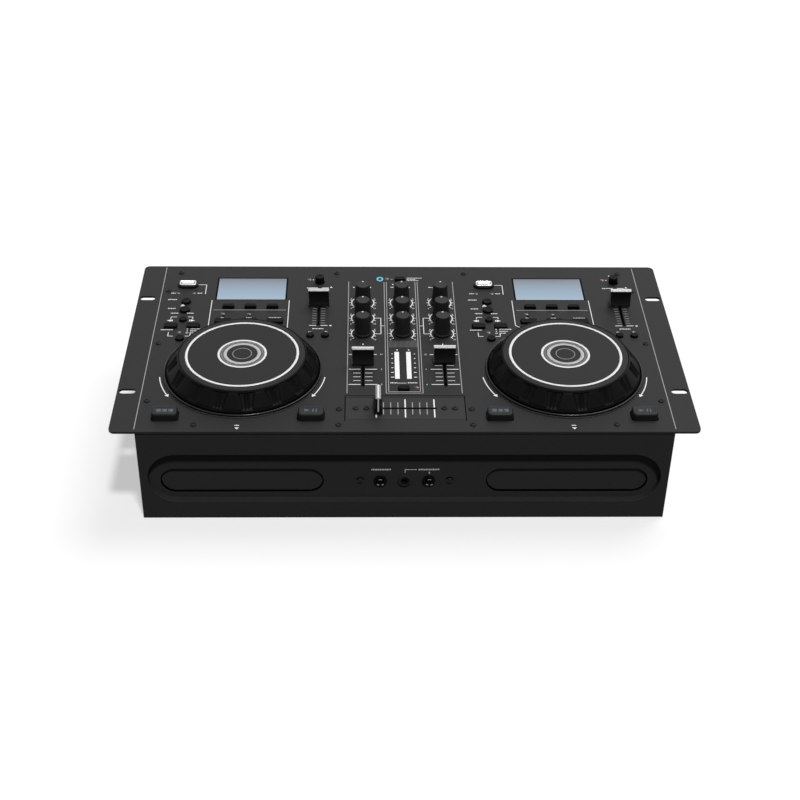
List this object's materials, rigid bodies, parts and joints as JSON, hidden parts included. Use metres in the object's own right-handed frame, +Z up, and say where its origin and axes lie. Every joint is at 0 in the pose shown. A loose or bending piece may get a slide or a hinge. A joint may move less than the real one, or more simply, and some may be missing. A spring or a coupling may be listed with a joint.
{
  "type": "dual disc player console",
  "caption": "Rack console for disc mixing with two fluted jog wheels, slide-out disc trays, displays, faders and knobs.",
  "frame": {"origin": "middle of the underside of the case, on the middle lines of the top panel", "axes": "+X to the right deck, +Y to the rear connectors, +Z up"},
  "size_m": [0.4826, 0.259, 0.1115],
  "materials": {
    "panel_paint": "satin",
    "case_paint": "satin",
    "front_plastic": "satin",
    "key_plastic": "satin",
    "pad_plastic": "glossy",
    "knob_plastic": "matte",
    "wheel_rubber": "matte",
    "wheel_disc": "satin",
    "seat_plastic": "satin",
    "tray_plastic": "satin",
    "display_glass": "glossy",
    "meter_plastic": "glossy",
    "lens_plastic": "glossy",
    "zinc_screws": "black zinc",
    "socket_metal": "plated",
    "jack_metal": "plated",
    "connector_plastic": "matte",
    "board_green": "solder mask",
    "loader_plastic": "matte",
    "supply_board": "matte",
    "fader_plastic": "satin"
  },
  "bodies": {
    "chassis": {"top_panel": "panel_paint", "chassis_pan": "case_paint", "front_panel": "front_plastic", "rear_panel": "case_paint", "rear_connectors": "connector_plastic", "crossfader_plate": "panel_paint", "machine_screws": "zinc_screws", "jog_base_rings": "seat_plastic", "lcd_windows": "display_glass", "front_jacks": "jack_metal", "usb_sockets": "socket_metal", "level_meter": "meter_plastic", "indicator_lenses": "lens_plastic", "main_board": "board_green", "power_supply": "supply_board", "disc_loader_left": "loader_plastic", "disc_loader_right": "loader_plastic"},
    "jog_left": {"jog_wheel_left": "wheel_rubber", "jog_top_disc_left": "wheel_disc"},
    "tray_left": {"disc_tray_left": "tray_plastic", "tray_front_left": "tray_plastic"},
    "pitch_fader_left": {"pitch_fader_left": "fader_plastic"},
    "round_keys_left": {"round_keys_left": "key_plastic"},
    "eject_key_left": {"eject_key_left": "key_plastic"},
    "track_back_key_left": {"track_back_key_left": "key_plastic"},
    "track_next_key_left": {"track_next_key_left": "key_plastic"},
    "cue_key_left": {"cue_key_left": "pad_plastic"},
    "play_key_left": {"play_key_left": "pad_plastic"},
    "pitch_keys_left": {"pitch_keys_left": "key_plastic"},
    "soft_keys_left": {"soft_keys_left": "key_plastic"},
    "loop_keys_left": {"loop_keys_left": "key_plastic"},
    "jog_right": {"jog_wheel_right": "wheel_rubber", "jog_top_disc_right": "wheel_disc"},
    "tray_right": {"disc_tray_right": "tray_plastic", "tray_front_right": "tray_plastic"},
    "pitch_fader_right": {"pitch_fader_right": "fader_plastic"},
    "round_keys_right": {"round_keys_right": "key_plastic"},
    "eject_key_right": {"eject_key_right": "key_plastic"},
    "track_back_key_right": {"track_back_key_right": "key_plastic"},
    "track_next_key_right": {"track_next_key_right": "key_plastic"},
    "cue_key_right": {"cue_key_right": "pad_plastic"},
    "play_key_right": {"play_key_right": "pad_plastic"},
    "pitch_keys_right": {"pitch_keys_right": "key_plastic"},
    "soft_keys_right": {"soft_keys_right": "key_plastic"},
    "loop_keys_right": {"loop_keys_right": "key_plastic"},
    "channel_fader_left": {"channel_fader_left": "fader_plastic"},
    "channel_fader_right": {"channel_fader_right": "fader_plastic"},
    "crossfader": {"crossfader": "fader_plastic"},
    "knob_rear_left": {"knob_rear_left": "knob_plastic"},
    "knob_rear_centre": {"knob_rear_centre": "knob_plastic"},
    "knob_rear_right": {"knob_rear_right": "knob_plastic"},
    "knob_middle_left": {"knob_middle_left": "knob_plastic"},
    "knob_middle_centre": {"knob_middle_centre": "knob_plastic"},
    "knob_middle_right": {"knob_middle_right": "knob_plastic"},
    "knob_front_left": {"knob_front_left": "knob_plastic"},
    "knob_front_centre": {"knob_front_centre": "knob_plastic"},
    "knob_front_right": {"knob_front_right": "knob_plastic"},
    "sync_key": {"sync_key": "key_plastic"},
    "phones_key": {"phones_key": "key_plastic"},
    "power_rocker": {"power_rocker": "connector_plastic"}
  },
  "joints": [
    {"name": "jog_left_turn", "type": "hinge", "parent": "chassis", "child": "jog_left", "pos_m": [-0.13765, -0.0434, 0.095], "axis": [0, 0, 1], "continuous": true},
    {"name": "tray_left_slide", "type": "slide", "parent": "chassis", "child": "tray_left", "axis": [0, -1, 0], "range_m": [0, 0.138]},
    {"name": "pitch_fader_left_slide", "type": "slide", "parent": "chassis", "child": "pitch_fader_left", "axis": [0, 1, 0], "range_m": [-0.0275, 0.0275]},
    {"name": "round_keys_left_press", "type": "slide", "parent": "chassis", "child": "round_keys_left", "axis": [0, 0, -1], "range_m": [0, 0.0008], "stiffness_N_per_m": 600},
    {"name": "eject_key_left_press", "type": "slide", "parent": "chassis", "child": "eject_key_left", "axis": [0, 0, -1], "range_m": [0, 0.0008], "stiffness_N_per_m": 600},
    {"name": "track_back_key_left_press", "type": "slide", "parent": "chassis", "child": "track_back_key_left", "axis": [0, 0, -1], "range_m": [0, 0.0008], "stiffness_N_per_m": 600},
    {"name": "track_next_key_left_press", "type": "slide", "parent": "chassis", "child": "track_next_key_left", "axis": [0, 0, -1], "range_m": [0, 0.0008], "stiffness_N_per_m": 600},
    {"name": "cue_key_left_press", "type": "slide", "parent": "chassis", "child": "cue_key_left", "axis": [0, 0, -1], "range_m": [0, 0.0008], "stiffness_N_per_m": 600},
    {"name": "play_key_left_press", "type": "slide", "parent": "chassis", "child": "play_key_left", "axis": [0, 0, -1], "range_m": [0, 0.0008], "stiffness_N_per_m": 600},
    {"name": "pitch_keys_left_press", "type": "slide", "parent": "chassis", "child": "pitch_keys_left", "axis": [0, 0, -1], "range_m": [0, 0.0008], "stiffness_N_per_m": 600},
    {"name": "soft_keys_left_press", "type": "slide", "parent": "chassis", "child": "soft_keys_left", "axis": [0, 0, -1], "range_m": [0, 0.0008], "stiffness_N_per_m": 600},
    {"name": "loop_keys_left_press", "type": "slide", "parent": "chassis", "child": "loop_keys_left", "axis": [0, 0, -1], "range_m": [0, 0.0008], "stiffness_N_per_m": 600},
    {"name": "jog_right_turn", "type": "hinge", "parent": "chassis", "child": "jog_right", "pos_m": [0.13765, -0.0434, 0.095], "axis": [0, 0, 1], "continuous": true},
    {"name": "tray_right_slide", "type": "slide", "parent": "chassis", "child": "tray_right", "axis": [0, -1, 0], "range_m": [0, 0.138]},
    {"name": "pitch_fader_right_slide", "type": "slide", "parent": "chassis", "child": "pitch_fader_right", "axis": [0, 1, 0], "range_m": [-0.0275, 0.0275]},
    {"name": "round_keys_right_press", "type": "slide", "parent": "chassis", "child": "round_keys_right", "axis": [0, 0, -1], "range_m": [0, 0.0008], "stiffness_N_per_m": 600},
    {"name": "eject_key_right_press", "type": "slide", "parent": "chassis", "child": "eject_key_right", "axis": [0, 0, -1], "range_m": [0, 0.0008], "stiffness_N_per_m": 600},
    {"name": "track_back_key_right_press", "type": "slide", "parent": "chassis", "child": "track_back_key_right", "axis": [0, 0, -1], "range_m": [0, 0.0008], "stiffness_N_per_m": 600},
    {"name": "track_next_key_right_press", "type": "slide", "parent": "chassis", "child": "track_next_key_right", "axis": [0, 0, -1], "range_m": [0, 0.0008], "stiffness_N_per_m": 600},
    {"name": "cue_key_right_press", "type": "slide", "parent": "chassis", "child": "cue_key_right", "axis": [0, 0, -1], "range_m": [0, 0.0008], "stiffness_N_per_m": 600},
    {"name": "play_key_right_press", "type": "slide", "parent": "chassis", "child": "play_key_right", "axis": [0, 0, -1], "range_m": [0, 0.0008], "stiffness_N_per_m": 600},
    {"name": "pitch_keys_right_press", "type": "slide", "parent": "chassis", "child": "pitch_keys_right", "axis": [0, 0, -1], "range_m": [0, 0.0008], "stiffness_N_per_m": 600},
    {"name": "soft_keys_right_press", "type": "slide", "parent": "chassis", "child": "soft_keys_right", "axis": [0, 0, -1], "range_m": [0, 0.0008], "stiffness_N_per_m": 600},
    {"name": "loop_keys_right_press", "type": "slide", "parent": "chassis", "child": "loop_keys_right", "axis": [0, 0, -1], "range_m": [0, 0.0008], "stiffness_N_per_m": 600},
    {"name": "channel_fader_left_slide", "type": "slide", "parent": "chassis", "child": "channel_fader_left", "axis": [0, 1, 0], "range_m": [-0.0298, 0.0152]},
    {"name": "channel_fader_right_slide", "type": "slide", "parent": "chassis", "child": "channel_fader_right", "axis": [0, 1, 0], "range_m": [-0.0321, 0.0129]},
    {"name": "crossfader_slide", "type": "slide", "parent": "chassis", "child": "crossfader", "axis": [1, 0, 0], "range_m": [0, 0.045]},
    {"name": "knob_rear_left_turn", "type": "hinge", "parent": "chassis", "child": "knob_rear_left", "pos_m": [-0.0353, 0.0655, 0.0915], "axis": [0, 0, 1], "range_deg": [-150, 150]},
    {"name": "knob_rear_centre_turn", "type": "hinge", "parent": "chassis", "child": "knob_rear_centre", "pos_m": [0, 0.0655, 0.0915], "axis": [0, 0, 1], "range_deg": [-150, 150]},
    {"name": "knob_rear_right_turn", "type": "hinge", "parent": "chassis", "child": "knob_rear_right", "pos_m": [0.0353, 0.0655, 0.0915], "axis": [0, 0, 1], "range_deg": [-150, 150]},
    {"name": "knob_middle_left_turn", "type": "hinge", "parent": "chassis", "child": "knob_middle_left", "pos_m": [-0.0353, 0.0396, 0.0915], "axis": [0, 0, 1], "range_deg": [-150, 150]},
    {"name": "knob_middle_centre_turn", "type": "hinge", "parent": "chassis", "child": "knob_middle_centre", "pos_m": [0, 0.0396, 0.0915], "axis": [0, 0, 1], "range_deg": [-150, 150]},
    {"name": "knob_middle_right_turn", "type": "hinge", "parent": "chassis", "child": "knob_middle_right", "pos_m": [0.0353, 0.0396, 0.0915], "axis": [0, 0, 1], "range_deg": [-150, 150]},
    {"name": "knob_front_left_turn", "type": "hinge", "parent": "chassis", "child": "knob_front_left", "pos_m": [-0.0353, 0.0145, 0.0915], "axis": [0, 0, 1], "range_deg": [-150, 150]},
    {"name": "knob_front_centre_turn", "type": "hinge", "parent": "chassis", "child": "knob_front_centre", "pos_m": [0, 0.0145, 0.0915], "axis": [0, 0, 1], "range_deg": [-150, 150]},
    {"name": "knob_front_right_turn", "type": "hinge", "parent": "chassis", "child": "knob_front_right", "pos_m": [0.0353, 0.0145, 0.0915], "axis": [0, 0, 1], "range_deg": [-150, 150]},
    {"name": "sync_key_press", "type": "slide", "parent": "chassis", "child": "sync_key", "axis": [0, 0, -1], "range_m": [0, 0.0008], "stiffness_N_per_m": 600},
    {"name": "phones_key_press", "type": "slide", "parent": "chassis", "child": "phones_key", "axis": [0, 0, -1], "range_m": [0, 0.0008], "stiffness_N_per_m": 600},
    {"name": "power_rocker_tip", "type": "hinge", "parent": "chassis", "child": "power_rocker", "pos_m": [0.14, 0.1191, 0.046], "axis": [1, 0, 0], "range_deg": [-18, 0]}
  ]
}
